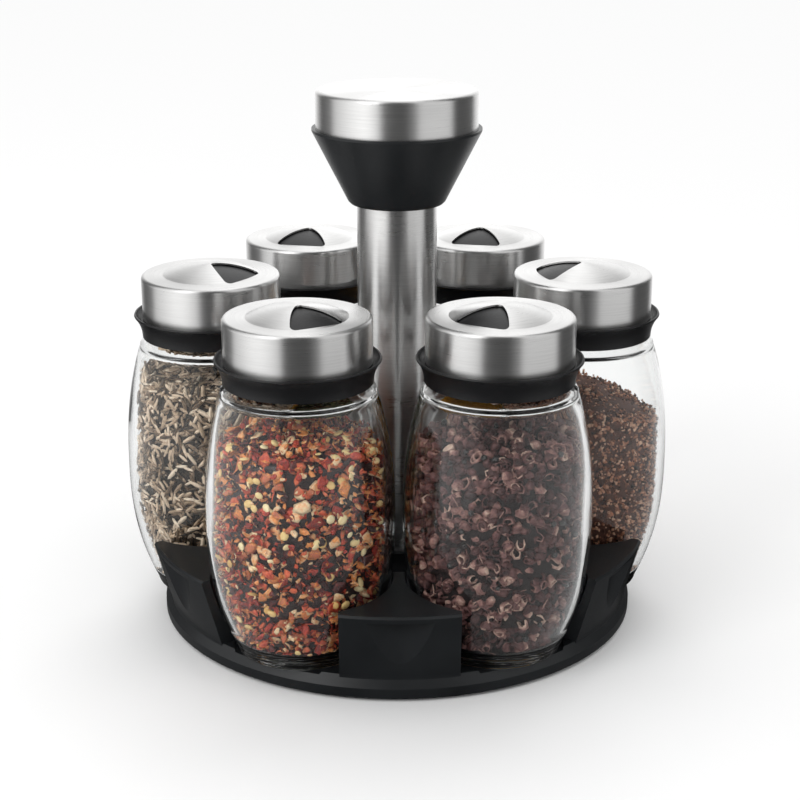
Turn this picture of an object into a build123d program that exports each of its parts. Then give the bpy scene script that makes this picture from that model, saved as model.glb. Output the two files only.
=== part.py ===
"""Revolving spice carousel: six barrel jars with dial lids on a turning tray with a carrying knob.

The frame stands on the table: Z = 0 is the table, +Z is up, the carousel turns about Z, and
the front is towards -Y. Jar 1 is on +X, and the numbers run anticlockwise seen from above.
"""

import os
from math import cos, radians, sin, sqrt

from build123d import *

os.makedirs("parts", exist_ok=True)

# ------------------------------------------------------------------ driving dimensions, mm

# Layout
jar_count = 6
pitch_angle = 360 / jar_count
ring_radius = 62.5  # carousel axis to each jar's axis
running_gap = 0.1  # radial play of a turning fit
free_gap = 0.3  # room between pieces that pass each other

# Foot, which stays still on the table
pad_proud = 1.0
pad_thickness = 1.6
pad_radius = 5.0
pad_ring_radius = 52.0
pad_count = 6
foot_radius = 62.0
foot_top = 3.4
foot_boss_radius = 14.4
foot_boss_top = 7.3
foot_web_bottom = 5.1
head_pocket_radius = 9.5

# Ball race between foot and tray
ball_radius = 1.5
ball_count = 24
race_radius = 30.0
race_height = 4.2  # the balls' centres
groove_radius = 1.65
cage_width = 5.0
cage_thickness = 0.9

# Tray
tray_radius = 81.5
tray_bottom = 1.0
tray_edge_height = 4.4  # top of the upright edge, below the bevel
tray_bevel_radius = 79.4
tray_floor = 7.8
seat_floor = 7.0
tray_underside = 5.0
tray_wall = 2.0
seat_radius = 22.4
hub_radius = 25.5
hub_top = 10.0
hub_pocket_top = 7.5

# Wedge prongs between the jars
prong_top = 31.0
prong_half_width = 19.0
prong_foot_radius = 79.9  # outer face where it leaves the tray
prong_top_radius = 86.0  # outer face at the top, leaning outwards
prong_inner_radius = 51.0
cradle_gap = 0.9
scoop_radius = 18.0
scoop_depth = 4.6
scoop_lip = 2.2  # uncut band under the top face

# Column, tie rod and knob
tube_radius = 13.3
tube_wall = 0.6
tube_bottom = 12.5
tube_top = 142.0
boss_foot_radius = 24.0
boss_top = 22.0
boss_top_radius = 15.4
rod_radius = 3.0
rod_hole_radius = 3.2
rod_top = 158.0
head_bottom = 1.6
head_across = 5.6  # half the width across the flats' corners
lower_washer_top = 5.0
washer_thickness = 0.8
bush_radius = 4.5
spigot_radius = 12.6
spigot_bottom = 134.0
knob_neck_radius = 16.25
knob_lip_radius = 28.0
knob_lip_height = 166.7
knob_floor = 149.5
knob_rim_top = 172.0
knob_cap_radius = 26.7
knob_cap_top = 179.2
knob_cap_wall = 0.8
knob_cap_round = 1.4

# Glass jar, heights from its own underside
jar_bottom = seat_floor + 0.1
glass_wall = 2.2
base_thickness = 5.0
punt_height = 1.5
stand_radius = 18.2
belly_radius = 30.2
belly_height = 45.0
barrel_foot_radius = 20.3
shoulder_radius = 24.6
shoulder_height = 87.0
barrel_power = 2.4
corner_height = 3.0
neck_radius = 18.6
neck_bore = 16.4
neck_height = 89.6
shoulder_round = (22.7, 89.1)
inner_shoulder_height = 84.5
inner_neck_height = 87.8
inner_shoulder_round = (20.4, 86.7)
mouth_height = 103.9
thread_heights = (95.6, 99.6)
thread_proud = 0.7
thread_half_width = 0.9
fill_gap = 0.15
fill_crown = 2.0
fill_heights = (68.0, 70.0, 72.0, 76.0, 82.0, 82.0)  # jars 1 to 6

# Lid insert, heights from the table
skirt_bore = 19.6
skirt_radius = 21.2
collar_bottom = 97.0
collar_foot_radius = 23.5
collar_lip_radius = 26.1
collar_lip_top = 104.7
cup_floor = 102.9
cup_radius = 24.2
land_bottom = 112.0
plate_thickness = 1.5
seal_thickness = 0.9

# Steel dial cap, heights from the table
cap_radius = 23.25
cap_wall = 0.5
cap_bottom = 103.4
cap_top = 117.8
cap_round = 1.2
dome_rim_radius = 16.0
dome_rise = 3.5
plate_gap = 0.35  # dial cap to the insert under it
ring_bottom = 103.8
ring_top = 109.0
bead_height = 105.7
bead_half = 0.5
bead_reach = 0.5
window_reach = 13.4  # apex to the outer corners, along the window's middle line
window_half = 9.3
window_crown = 15.4
window_bulge = 0.8
window_round = 1.8
window_bearings = (-170.0, -102.0, -102.0, -31.0, -60.0, -120.0)  # jars 1 to 6, closed
pour_inset = 1.1
pour_turn = 240.0  # dial angle that brings the window over the pouring opening
sprinkle_turn = 120.0
sprinkle_radius = 1.3
sprinkle_holes = ((5.0, 0.0), (8.8, 2.5), (8.8, -2.5), (12.2, 0.0), (12.2, 4.9), (12.2, -4.9))

# ------------------------------------------------------------------ derived sizes

mouth_z = jar_bottom + mouth_height
dome_sphere = (dome_rim_radius**2 + dome_rise**2) / (2 * dome_rise)
dome_centre_z = cap_top + dome_rise - dome_sphere
insert_sphere = dome_sphere - cap_wall - plate_gap
insert_top = cap_top - cap_wall - plate_gap
scoop_axis_radius = prong_top_radius - scoop_depth + scoop_radius


def ring_point(number):
    """Return the X and Y of jar `number`'s axis."""
    angle = radians((number - 1) * pitch_angle)
    return ring_radius * cos(angle), ring_radius * sin(angle)


def upright_plane(x=0.0, y=0.0, z=0.0):
    """Return the plane of a turned profile: its X is the radius, its Y is the height."""
    return Plane(origin=(x, y, z), x_dir=(1, 0, 0), z_dir=(0, -1, 0))


def turning_axis(x=0.0, y=0.0):
    """Return the upright axis through X and Y."""
    return Axis((x, y, 0), (0, 0, 1))


def bearing_plane(number, turn, height):
    """Return the level plane on jar `number`'s axis whose X points along the turned window."""
    x, y = ring_point(number)
    bearing = radians(window_bearings[number - 1] + turn)
    return Plane(origin=(x, y, height), x_dir=(cos(bearing), sin(bearing), 0), z_dir=(0, 0, 1))


def barrel_radius(height):
    """Return the glass's outer radius at a height above the jar's underside."""
    if height < belly_height:
        share = (belly_height - height) / belly_height
        return belly_radius - (belly_radius - barrel_foot_radius) * share**barrel_power
    share = (height - belly_height) / (shoulder_height - belly_height)
    return belly_radius - (belly_radius - shoulder_radius) * share**barrel_power


def barrel_points(low, high, inset, count=9):
    """Return points up the barrel's side between two heights, moved in by inset."""
    heights = [low + (high - low) * step / (count - 1) for step in range(count)]
    return [(barrel_radius(height) - inset, height) for height in heights]


def sphere_height(sphere_radius, radius):
    """Return the height of a dome of the lid's centre at a distance from the lid's axis."""
    return dome_centre_z + sqrt(sphere_radius**2 - radius**2)


def window_face(plane, inset):
    """Return the lid's three-cornered opening: its apex on the lid's axis, its sides bulging."""
    apex = (inset * 1.6, 0)
    upper = (window_reach - inset * 0.8, window_half - inset * 1.4)
    lower = (upper[0], -upper[1])
    middle_x = (apex[0] + upper[0]) / 2 - window_bulge * 0.57
    middle_y = upper[1] / 2 + window_bulge * 0.82
    with BuildSketch(plane) as window:
        with BuildLine():
            ThreePointArc(apex, (middle_x, middle_y), upper)
            ThreePointArc(upper, (window_crown - inset, 0), lower)
            ThreePointArc(lower, (middle_x, -middle_y), apex)
        make_face()
        fillet(window.vertices(), window_round - inset * 0.5)
    return window.sketch


def write(piece, name):
    """Label a finished piece and write its STEP file."""
    piece.label = name
    export_step(piece, f"parts/{name}.step")


# ------------------------------------------------------------------ foot

with BuildPart() as foot_disc:
    with BuildSketch(upright_plane()):
        with BuildLine():
            Polyline(
                (bush_radius + running_gap, foot_web_bottom),
                (head_pocket_radius, foot_web_bottom),
                (head_pocket_radius, pad_proud),
                (foot_radius, pad_proud),
                (foot_radius, foot_top - 0.8),
                (foot_radius - 0.8, foot_top),
                (foot_boss_radius, foot_top),
                (foot_boss_radius, foot_boss_top),
                (bush_radius + running_gap, foot_boss_top),
                close=True,
            )
        make_face()
    revolve(axis=turning_axis())
    with Locations((0, 0, race_height)):
        Torus(race_radius, groove_radius, mode=Mode.SUBTRACT)
    with BuildSketch(Plane.XY.offset(pad_proud)):
        with PolarLocations(pad_ring_radius, pad_count):
            Circle(pad_radius)
    extrude(amount=pad_thickness - pad_proud, mode=Mode.SUBTRACT)
write(foot_disc.part, "foot_disc")

with BuildPart() as foot_pads:
    with BuildSketch(Plane.XY):
        with PolarLocations(pad_ring_radius, pad_count):
            Circle(pad_radius)
    extrude(amount=pad_thickness)
    chamfer(edges().group_by(Axis.Z)[0], length=0.3)
write(foot_pads.part, "foot_pads")

# ------------------------------------------------------------------ ball race

with BuildPart() as ball_cage:
    with BuildSketch(Plane.XY.offset(race_height - cage_thickness / 2)):
        Circle(race_radius + cage_width / 2)
        Circle(race_radius - cage_width / 2, mode=Mode.SUBTRACT)
        with PolarLocations(race_radius, ball_count):
            Circle(ball_radius + running_gap, mode=Mode.SUBTRACT)
    extrude(amount=cage_thickness)
write(ball_cage.part, "ball_cage")

with BuildPart() as bearing_balls:
    for step in range(ball_count):
        ball_angle = radians(step * 360 / ball_count)
        with Locations((race_radius * cos(ball_angle), race_radius * sin(ball_angle), race_height)):
            Sphere(ball_radius)
write(bearing_balls.part, "bearing_balls")

# ------------------------------------------------------------------ tray

# The prongs start as six blocks, are trimmed to a leaning cone, and are carved by the jars.
with BuildPart() as prongs:
    prong_length = prong_top_radius + 2 - prong_inner_radius
    with BuildSketch(Plane.XY.offset(tray_underside + 1)):
        with PolarLocations(prong_inner_radius + prong_length / 2, jar_count, pitch_angle / 2):
            Rectangle(prong_length, 2 * prong_half_width)
    extrude(amount=prong_top - tray_underside - 1)
    with BuildSketch(upright_plane()):
        with BuildLine():
            Polyline(
                (0, tray_underside),
                (prong_foot_radius, tray_underside),
                (prong_foot_radius, tray_floor),
                (prong_top_radius, prong_top - 0.7),
                (prong_top_radius - 0.7, prong_top),
                (0, prong_top),
                close=True,
            )
        make_face()
    revolve(axis=turning_axis(), mode=Mode.INTERSECT)
    with BuildSketch(Plane.XY.offset(tray_underside)):
        with PolarLocations(scoop_axis_radius, jar_count, pitch_angle / 2):
            Circle(scoop_radius)
    extrude(amount=prong_top - scoop_lip - tray_underside, mode=Mode.SUBTRACT)
    for number in range(1, jar_count + 1):
        jar_x, jar_y = ring_point(number)
        cradle_top = prong_top - jar_bottom + 5
        with BuildSketch(upright_plane(jar_x, jar_y, jar_bottom)):
            with BuildLine():
                cradle_side = Spline(barrel_points(-0.1, cradle_top, -cradle_gap))
                Polyline(cradle_side @ 1, (0, cradle_top), (0, -0.1), cradle_side @ 0)
            make_face()
        revolve(axis=turning_axis(jar_x, jar_y), mode=Mode.SUBTRACT)

with BuildPart() as tray:
    with BuildSketch(upright_plane()):
        with BuildLine():
            Polyline(
                (rod_hole_radius, hub_pocket_top),
                (foot_boss_radius + 0.6, hub_pocket_top),
                (foot_boss_radius + 0.6, tray_underside),
                (tray_radius - tray_wall - 1.5, tray_underside),
                (tray_radius - tray_wall, tray_edge_height - 1),
                (tray_radius - tray_wall, tray_bottom),
                (tray_radius - 0.4, tray_bottom),
                (tray_radius, tray_bottom + 0.4),
                (tray_radius, tray_edge_height),
                (tray_bevel_radius, tray_floor),
                (hub_radius + 2.2, tray_floor),
                (hub_radius, hub_top),
                (rod_hole_radius, hub_top),
                close=True,
            )
        make_face()
    revolve(axis=turning_axis())
    with Locations((0, 0, race_height)):
        Torus(race_radius, groove_radius, mode=Mode.SUBTRACT)
    with BuildSketch(Plane.XY.offset(tray_floor)):
        with PolarLocations(ring_radius, jar_count):
            Circle(seat_radius)
    extrude(amount=seat_floor - tray_floor, mode=Mode.SUBTRACT)
    add(prongs.part)
write(tray.part, "tray")

# ------------------------------------------------------------------ column and tie rod

with BuildPart() as column_boss:
    with BuildSketch(upright_plane()):
        with BuildLine():
            Polyline(
                (boss_top_radius, boss_top),
                (tube_radius + 0.05, boss_top),
                (tube_radius + 0.05, tube_bottom),
                (rod_hole_radius, tube_bottom),
                (rod_hole_radius, hub_top),
                (boss_foot_radius, hub_top),
                (boss_foot_radius, hub_top + 1),
            )
            ThreePointArc(
                (boss_foot_radius, hub_top + 1),
                ((boss_foot_radius + boss_top_radius) / 2 - 1.6, (hub_top + boss_top) / 2 - 1.2),
                (boss_top_radius, boss_top),
            )
        make_face()
    revolve(axis=turning_axis())
write(column_boss.part, "column_boss")

with BuildPart() as column_tube:
    with BuildSketch(Plane.XY.offset(tube_bottom)):
        Circle(tube_radius)
        Circle(tube_radius - tube_wall, mode=Mode.SUBTRACT)
    extrude(amount=tube_top - tube_bottom)
write(column_tube.part, "column_tube")

with BuildPart() as tie_rod:
    with BuildSketch(Plane.XY.offset(head_bottom)):
        RegularPolygon(head_across, 6)
    extrude(amount=lower_washer_top - washer_thickness - head_bottom)
    with BuildSketch(Plane.XY.offset(head_bottom)):
        Circle(rod_radius)
    extrude(amount=rod_top - head_bottom)
    chamfer(edges().group_by(Axis.Z)[-1], length=0.6)
write(tie_rod.part, "tie_rod")

with BuildPart() as lower_washer:
    with BuildSketch(Plane.XY.offset(lower_washer_top - washer_thickness)):
        Circle(head_pocket_radius - 1)
        Circle(rod_hole_radius, mode=Mode.SUBTRACT)
    extrude(amount=washer_thickness)
write(lower_washer.part, "lower_washer")

with BuildPart() as pivot_bush:
    with BuildSketch(Plane.XY.offset(lower_washer_top)):
        Circle(bush_radius)
        Circle(rod_radius + 0.05, mode=Mode.SUBTRACT)
    extrude(amount=hub_pocket_top - lower_washer_top)
write(pivot_bush.part, "pivot_bush")

# ------------------------------------------------------------------ knob

with BuildPart() as knob_cone:
    knob_seat_radius = knob_cap_radius - knob_cap_wall - 0.05
    with BuildSketch(upright_plane()):
        with BuildLine():
            Polyline(
                (rod_hole_radius, spigot_bottom),
                (spigot_radius - 0.6, spigot_bottom),
                (spigot_radius, spigot_bottom + 0.6),
                (spigot_radius, tube_top),
                (knob_neck_radius - 0.8, tube_top),
                (knob_neck_radius, tube_top + 0.8),
                (knob_lip_radius, knob_lip_height - 0.8),
                (knob_lip_radius, knob_lip_height),
                (knob_seat_radius, knob_lip_height),
                (knob_seat_radius, knob_rim_top),
                (knob_seat_radius - 2, knob_rim_top),
                (knob_seat_radius - 2, knob_lip_height - 1.5),
                (knob_neck_radius - 2, knob_floor),
                (rod_hole_radius, knob_floor),
                close=True,
            )
        make_face()
    revolve(axis=turning_axis())
write(knob_cone.part, "knob_cone")

with BuildPart() as upper_washer:
    with BuildSketch(Plane.XY.offset(knob_floor)):
        Circle(8)
        Circle(rod_hole_radius, mode=Mode.SUBTRACT)
    extrude(amount=washer_thickness)
write(upper_washer.part, "upper_washer")

with BuildPart() as rod_nut:
    with BuildSketch(Plane.XY.offset(knob_floor + washer_thickness)):
        RegularPolygon(head_across, 6)
        Circle(rod_radius + 0.05, mode=Mode.SUBTRACT)
    extrude(amount=5)
write(rod_nut.part, "rod_nut")

with BuildPart() as knob_cap:
    cap_inner = knob_cap_radius - knob_cap_wall
    round_centre = (knob_cap_radius - knob_cap_round, knob_cap_top - knob_cap_round)
    corner = knob_cap_round * sqrt(0.5)
    with BuildSketch(upright_plane()):
        with BuildLine():
            Polyline(
                (0, knob_cap_top),
                (0, knob_cap_top - knob_cap_wall),
                (cap_inner - 0.6, knob_cap_top - knob_cap_wall),
                (cap_inner, knob_cap_top - knob_cap_wall - 0.6),
                (cap_inner, knob_lip_height),
                (knob_cap_radius, knob_lip_height),
                (knob_cap_radius, round_centre[1]),
            )
            ThreePointArc(
                (knob_cap_radius, round_centre[1]),
                (round_centre[0] + corner, round_centre[1] + corner),
                (round_centre[0], knob_cap_top),
            )
            Line((round_centre[0], knob_cap_top), (0, knob_cap_top))
        make_face()
    revolve(axis=turning_axis())
write(knob_cap.part, "knob_cap")

# ------------------------------------------------------------------ the six jars and their lids

for number in range(1, jar_count + 1):
    jar_x, jar_y = ring_point(number)
    jar_axis = turning_axis(jar_x, jar_y)
    jar_profile = upright_plane(jar_x, jar_y, jar_bottom)
    lid_profile = upright_plane(jar_x, jar_y)

    with BuildPart() as jar_glass:
        inner_start = base_thickness + 4
        with BuildSketch(jar_profile):
            with BuildLine():
                ThreePointArc((0, punt_height), (8, punt_height * 0.72), (15, 0))
                Line((15, 0), (stand_radius, 0))
                outer_side = Spline(barrel_points(corner_height, shoulder_height, 0))
                corner_middle = (outer_side @ 0).X - 0.95
                ThreePointArc((stand_radius, 0), (corner_middle, 0.95), outer_side @ 0)
                ThreePointArc(outer_side @ 1, shoulder_round, (neck_radius, neck_height))
                neck_start = (neck_radius, neck_height)
                for height in thread_heights:
                    thread_start = (neck_radius, height - thread_half_width)
                    thread_end = (neck_radius, height + thread_half_width)
                    Line(neck_start, thread_start)
                    ThreePointArc(thread_start, (neck_radius + thread_proud, height), thread_end)
                    neck_start = thread_end
                rim_radius = (neck_radius - neck_bore) / 2
                rim_start = (neck_radius, mouth_height - rim_radius)
                Line(neck_start, rim_start)
                ThreePointArc(
                    rim_start,
                    (neck_radius - rim_radius, mouth_height),
                    (neck_bore, mouth_height - rim_radius),
                )
                Line((neck_bore, mouth_height - rim_radius), (neck_bore, inner_neck_height))
                inner_side = Spline(barrel_points(inner_start, inner_shoulder_height, glass_wall))
                ThreePointArc((neck_bore, inner_neck_height), inner_shoulder_round, inner_side @ 1)
                floor_edge = ((inner_side @ 0).X - 3.6, base_thickness)
                floor_middle = ((inner_side @ 0).X - 0.95, base_thickness + 1.25)
                ThreePointArc(inner_side @ 0, floor_middle, floor_edge)
                Polyline(floor_edge, (0, base_thickness), (0, punt_height))
            make_face()
        revolve(axis=jar_axis)
    write(jar_glass.part, f"jar_glass_{number}")

    with BuildPart() as jar_spice:
        fill_height = fill_heights[number - 1]
        fill_start = base_thickness + 4
        with BuildSketch(jar_profile):
            with BuildLine():
                fill_side = Spline(barrel_points(fill_start, fill_height, glass_wall + fill_gap))
                fill_edge = ((fill_side @ 0).X - 3.6, base_thickness + fill_gap)
                fill_middle = ((fill_side @ 0).X - 0.95, base_thickness + fill_gap + 1.25)
                ThreePointArc(fill_side @ 0, fill_middle, fill_edge)
                Polyline(fill_edge, (0, base_thickness + fill_gap), (0, fill_height + fill_crown))
                crown_middle = ((fill_side @ 1).X / 2, fill_height + fill_crown * 0.75)
                ThreePointArc((0, fill_height + fill_crown), crown_middle, fill_side @ 1)
            make_face()
        revolve(axis=jar_axis)
    write(jar_spice.part, f"jar_spice_{number}")

    with BuildPart() as lid_insert:
        groove_low = bead_height - bead_half - free_gap
        groove_high = bead_height + bead_half + free_gap
        groove_bottom = skirt_radius + running_gap - bead_reach - free_gap
        inner_sphere = insert_sphere - plate_thickness
        with BuildSketch(lid_profile):
            with BuildLine():
                Line((skirt_bore, collar_bottom), (collar_foot_radius, collar_bottom))
                ThreePointArc(
                    (collar_foot_radius, collar_bottom),
                    (collar_foot_radius + 0.9, collar_bottom + 4.4),
                    (collar_lip_radius, collar_lip_top - 0.5),
                )
                Polyline(
                    (collar_lip_radius, collar_lip_top - 0.5),
                    (collar_lip_radius - 0.2, collar_lip_top),
                    (collar_lip_radius - 0.7, collar_lip_top),
                )
                ThreePointArc(
                    (collar_lip_radius - 0.7, collar_lip_top),
                    (cup_radius + 0.45, cup_floor + 0.6),
                    (cup_radius - 0.4, cup_floor),
                )
                Polyline(
                    (cup_radius - 0.4, cup_floor),
                    (skirt_radius, cup_floor),
                    (skirt_radius, groove_low),
                    (groove_bottom, groove_low),
                    (groove_bottom, groove_high),
                    (skirt_radius, groove_high),
                    (skirt_radius, insert_top - 1),
                    (skirt_radius - 1, insert_top),
                )
                dome_foot = sqrt(insert_sphere**2 - (insert_top - dome_centre_z) ** 2)
                Line((skirt_radius - 1, insert_top), (dome_foot, insert_top))
                ThreePointArc(
                    (dome_foot, insert_top),
                    (dome_foot / 2, sphere_height(insert_sphere, dome_foot / 2)),
                    (0, dome_centre_z + insert_sphere),
                )
                inner_foot = (neck_bore, sphere_height(inner_sphere, neck_bore))
                Line((0, dome_centre_z + insert_sphere), (0, dome_centre_z + inner_sphere))
                ThreePointArc(
                    (0, dome_centre_z + inner_sphere),
                    (neck_bore / 2, sphere_height(inner_sphere, neck_bore / 2)),
                    inner_foot,
                )
                Polyline(
                    inner_foot,
                    (neck_bore, land_bottom),
                    (skirt_bore, land_bottom),
                    (skirt_bore, collar_bottom),
                )
            make_face()
        revolve(axis=jar_axis)
        pour_face = window_face(bearing_plane(number, pour_turn, land_bottom), pour_inset)
        extrude(pour_face, amount=12, mode=Mode.SUBTRACT)
        with BuildSketch(bearing_plane(number, sprinkle_turn, land_bottom)):
            with Locations(*sprinkle_holes):
                Circle(sprinkle_radius)
        extrude(amount=12, mode=Mode.SUBTRACT)
    write(lid_insert.part, f"lid_insert_{number}")

    with BuildPart() as lid_seal:
        with BuildSketch(Plane(origin=(jar_x, jar_y, land_bottom))):
            Circle(skirt_bore - free_gap)
            Circle(neck_bore + free_gap, mode=Mode.SUBTRACT)
        extrude(amount=-seal_thickness)
    write(lid_seal.part, f"lid_seal_{number}")

    with BuildPart() as dial_cap:
        steel_sphere = dome_sphere - cap_wall
        cap_inner_top = cap_top - cap_wall
        cap_inner = cap_radius - cap_wall
        inner_rim = sqrt(steel_sphere**2 - (cap_inner_top - dome_centre_z) ** 2)
        corner = cap_round * (1 - sqrt(0.5))
        inner_round = cap_round - cap_wall
        inner_corner = inner_round * (1 - sqrt(0.5))
        with BuildSketch(lid_profile):
            with BuildLine():
                Line((cap_inner, cap_bottom), (cap_radius, cap_bottom))
                Line((cap_radius, cap_bottom), (cap_radius, cap_top - cap_round))
                ThreePointArc(
                    (cap_radius, cap_top - cap_round),
                    (cap_radius - corner, cap_top - corner),
                    (cap_radius - cap_round, cap_top),
                )
                Line((cap_radius - cap_round, cap_top), (dome_rim_radius, cap_top))
                ThreePointArc(
                    (dome_rim_radius, cap_top),
                    (dome_rim_radius / 2, sphere_height(dome_sphere, dome_rim_radius / 2)),
                    (0, dome_centre_z + dome_sphere),
                )
                Line((0, dome_centre_z + dome_sphere), (0, dome_centre_z + steel_sphere))
                ThreePointArc(
                    (0, dome_centre_z + steel_sphere),
                    (inner_rim / 2, sphere_height(steel_sphere, inner_rim / 2)),
                    (inner_rim, cap_inner_top),
                )
                Line((inner_rim, cap_inner_top), (cap_inner - inner_round, cap_inner_top))
                ThreePointArc(
                    (cap_inner - inner_round, cap_inner_top),
                    (cap_inner - inner_corner, cap_inner_top - inner_corner),
                    (cap_inner, cap_inner_top - inner_round),
                )
                Line((cap_inner, cap_inner_top - inner_round), (cap_inner, cap_bottom))
            make_face()
        revolve(axis=jar_axis)
        extrude(window_face(bearing_plane(number, 0, cap_top - 2), 0), amount=10, mode=Mode.SUBTRACT)
    write(dial_cap.part, f"dial_cap_{number}")

    with BuildPart() as dial_ring:
        ring_bore = skirt_radius + running_gap
        ring_outer = cap_radius - cap_wall
        with BuildSketch(lid_profile):
            with BuildLine():
                Polyline(
                    (ring_bore, ring_bottom),
                    (ring_outer, ring_bottom),
                    (ring_outer, ring_top),
                    (ring_bore, ring_top),
                    (ring_bore, bead_height + bead_half),
                    (ring_bore - bead_reach, bead_height + bead_half / 2),
                    (ring_bore - bead_reach, bead_height - bead_half / 2),
                    (ring_bore, bead_height - bead_half),
                    close=True,
                )
            make_face()
        revolve(axis=jar_axis)
    write(dial_ring.part, f"dial_ring_{number}")
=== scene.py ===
"""Looks of the revolving spice carousel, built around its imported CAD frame.

Lengths in the named values are millimetres and are turned into metres by MM. Each jar's glass and
spice are turned or scattered here around the axis that the frame gives; every other piece is
the frame's own node with a procedural material.
"""

from math import cos, pi, radians, sin, tau

import bpy
import numpy as np
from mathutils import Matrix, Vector


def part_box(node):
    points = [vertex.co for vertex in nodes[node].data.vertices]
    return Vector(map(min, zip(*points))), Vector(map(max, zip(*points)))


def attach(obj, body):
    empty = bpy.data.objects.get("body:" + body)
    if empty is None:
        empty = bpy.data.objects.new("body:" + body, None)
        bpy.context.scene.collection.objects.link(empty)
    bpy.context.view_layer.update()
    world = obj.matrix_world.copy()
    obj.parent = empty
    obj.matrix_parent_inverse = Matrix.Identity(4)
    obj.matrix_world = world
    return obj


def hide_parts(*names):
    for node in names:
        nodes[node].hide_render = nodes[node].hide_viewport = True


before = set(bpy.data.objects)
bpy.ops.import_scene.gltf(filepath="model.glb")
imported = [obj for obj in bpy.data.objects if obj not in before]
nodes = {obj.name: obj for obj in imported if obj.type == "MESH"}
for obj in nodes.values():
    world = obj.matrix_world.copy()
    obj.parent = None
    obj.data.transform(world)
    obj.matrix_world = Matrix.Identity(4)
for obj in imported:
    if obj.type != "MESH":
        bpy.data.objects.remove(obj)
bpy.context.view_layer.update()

MM = 0.001
JARS = range(1, 7)
glass_low, glass_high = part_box("jar_glass_1")

# Glass jar, heights from its own underside; the outline follows the frame's glass
BELLY_RADIUS = (glass_high.x - glass_low.x) / 2 / MM
MOUTH_HEIGHT = (glass_high.z - glass_low.z) / MM
GLASS_WALL = 2.2
BASE_THICKNESS = 5.0
PUNT_HEIGHT = 1.5
PUNT_RADIUS = 15.0
STAND_RADIUS = 18.2
BELLY_HEIGHT = 45.0
BARREL_FOOT_RADIUS = 20.3
SHOULDER_RADIUS = 24.6
SHOULDER_HEIGHT = 87.0
BARREL_POWER = 2.4
CORNER_HEIGHT = 3.0
NECK_RADIUS = 18.6
NECK_BORE = 16.4
NECK_HEIGHT = 89.6
INNER_SHOULDER_HEIGHT = 84.5
INNER_NECK_HEIGHT = 87.8
INNER_CORNER = 4.0
INNER_CORNER_REACH = 3.6
THREAD_START = 93.0
THREAD_PITCH = 4.0
THREAD_TURNS = 1.7
THREAD_PROUD = 0.65
THREAD_HALF_WIDTH = 0.75
THREAD_RUNOUTS_PER_TURN = 12
BROAD_SWAY = 0.10
FINE_SWAY = 0.06
GLASS_SEGMENTS = 144


# ------------------------------------------------------------------ the jar's shape


def barrel_radius(height):
    """Return the glass's outer radius at a height, or at an array of heights."""
    height = np.asarray(height, float)
    low = np.clip((BELLY_HEIGHT - height) / BELLY_HEIGHT, 0, None)
    high = np.clip((height - BELLY_HEIGHT) / (SHOULDER_HEIGHT - BELLY_HEIGHT), 0, None)
    drop_low = (BELLY_RADIUS - BARREL_FOOT_RADIUS) * low**BARREL_POWER
    drop_high = (BELLY_RADIUS - SHOULDER_RADIUS) * high**BARREL_POWER
    return BELLY_RADIUS - drop_low - drop_high


def cavity_radius(height):
    """Return the cavity's radius at a height above the jar's underside, round its floor corner."""
    height = np.asarray(height, float)
    straight = barrel_radius(np.maximum(height, BASE_THICKNESS + INNER_CORNER)) - GLASS_WALL
    sink = np.clip((BASE_THICKNESS + INNER_CORNER - height) / INNER_CORNER, 0, 1)
    return straight - INNER_CORNER_REACH * (1 - np.sqrt(1 - sink**2))


def glass_profile():
    """Return the turned outline of the glass, from the underside's centre to the cavity floor's."""
    quarter = np.linspace(0, pi / 2, 10)
    punt = np.linspace(0, PUNT_RADIUS, 8)
    barrel = np.linspace(CORNER_HEIGHT, SHOULDER_HEIGHT, 46)
    inner_foot = BASE_THICKNESS + INNER_CORNER
    inner = np.linspace(INNER_SHOULDER_HEIGHT, inner_foot, 46)
    rim = (NECK_RADIUS - NECK_BORE) / 2
    around = np.linspace(0, pi, 9)
    corner_radius = float(barrel_radius(CORNER_HEIGHT))
    shoulder_in = float(barrel_radius(INNER_SHOULDER_HEIGHT)) - GLASS_WALL
    foot_in = float(barrel_radius(inner_foot)) - GLASS_WALL
    neck = np.linspace(NECK_HEIGHT, MOUTH_HEIGHT - rim, 44)
    stretches = [
        (punt, PUNT_HEIGHT * (1 - (punt / PUNT_RADIUS) ** 2)),
        (
            STAND_RADIUS + (corner_radius - STAND_RADIUS) * np.sin(quarter),
            CORNER_HEIGHT * (1 - np.cos(quarter)),
        ),
        (barrel_radius(barrel[1:]), barrel[1:]),
        (
            NECK_RADIUS + (SHOULDER_RADIUS - NECK_RADIUS) * np.cos(quarter[1:]),
            SHOULDER_HEIGHT + (NECK_HEIGHT - SHOULDER_HEIGHT) * np.sin(quarter[1:]),
        ),
        (np.full(len(neck) - 1, NECK_RADIUS), neck[1:]),
        (
            NECK_BORE + rim + rim * np.cos(around[1:]),
            MOUTH_HEIGHT - rim + rim * np.sin(around[1:]),
        ),
        (np.full(3, NECK_BORE), np.linspace(MOUTH_HEIGHT - rim, INNER_NECK_HEIGHT, 4)[1:]),
        (
            NECK_BORE + (shoulder_in - NECK_BORE) * np.sin(quarter[1:]),
            INNER_SHOULDER_HEIGHT
            + (INNER_NECK_HEIGHT - INNER_SHOULDER_HEIGHT) * np.cos(quarter[1:]),
        ),
        (barrel_radius(inner[1:]) - GLASS_WALL, inner[1:]),
        (
            foot_in - INNER_CORNER_REACH * (1 - np.cos(quarter[1:])),
            inner_foot - INNER_CORNER * np.sin(quarter[1:]),
        ),
        (np.linspace(foot_in - INNER_CORNER_REACH, 0, 8)[1:], np.full(7, BASE_THICKNESS)),
    ]
    radii = np.concatenate([radius for radius, _ in stretches])
    heights = np.concatenate([height for _, height in stretches])
    return radii, heights


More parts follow.
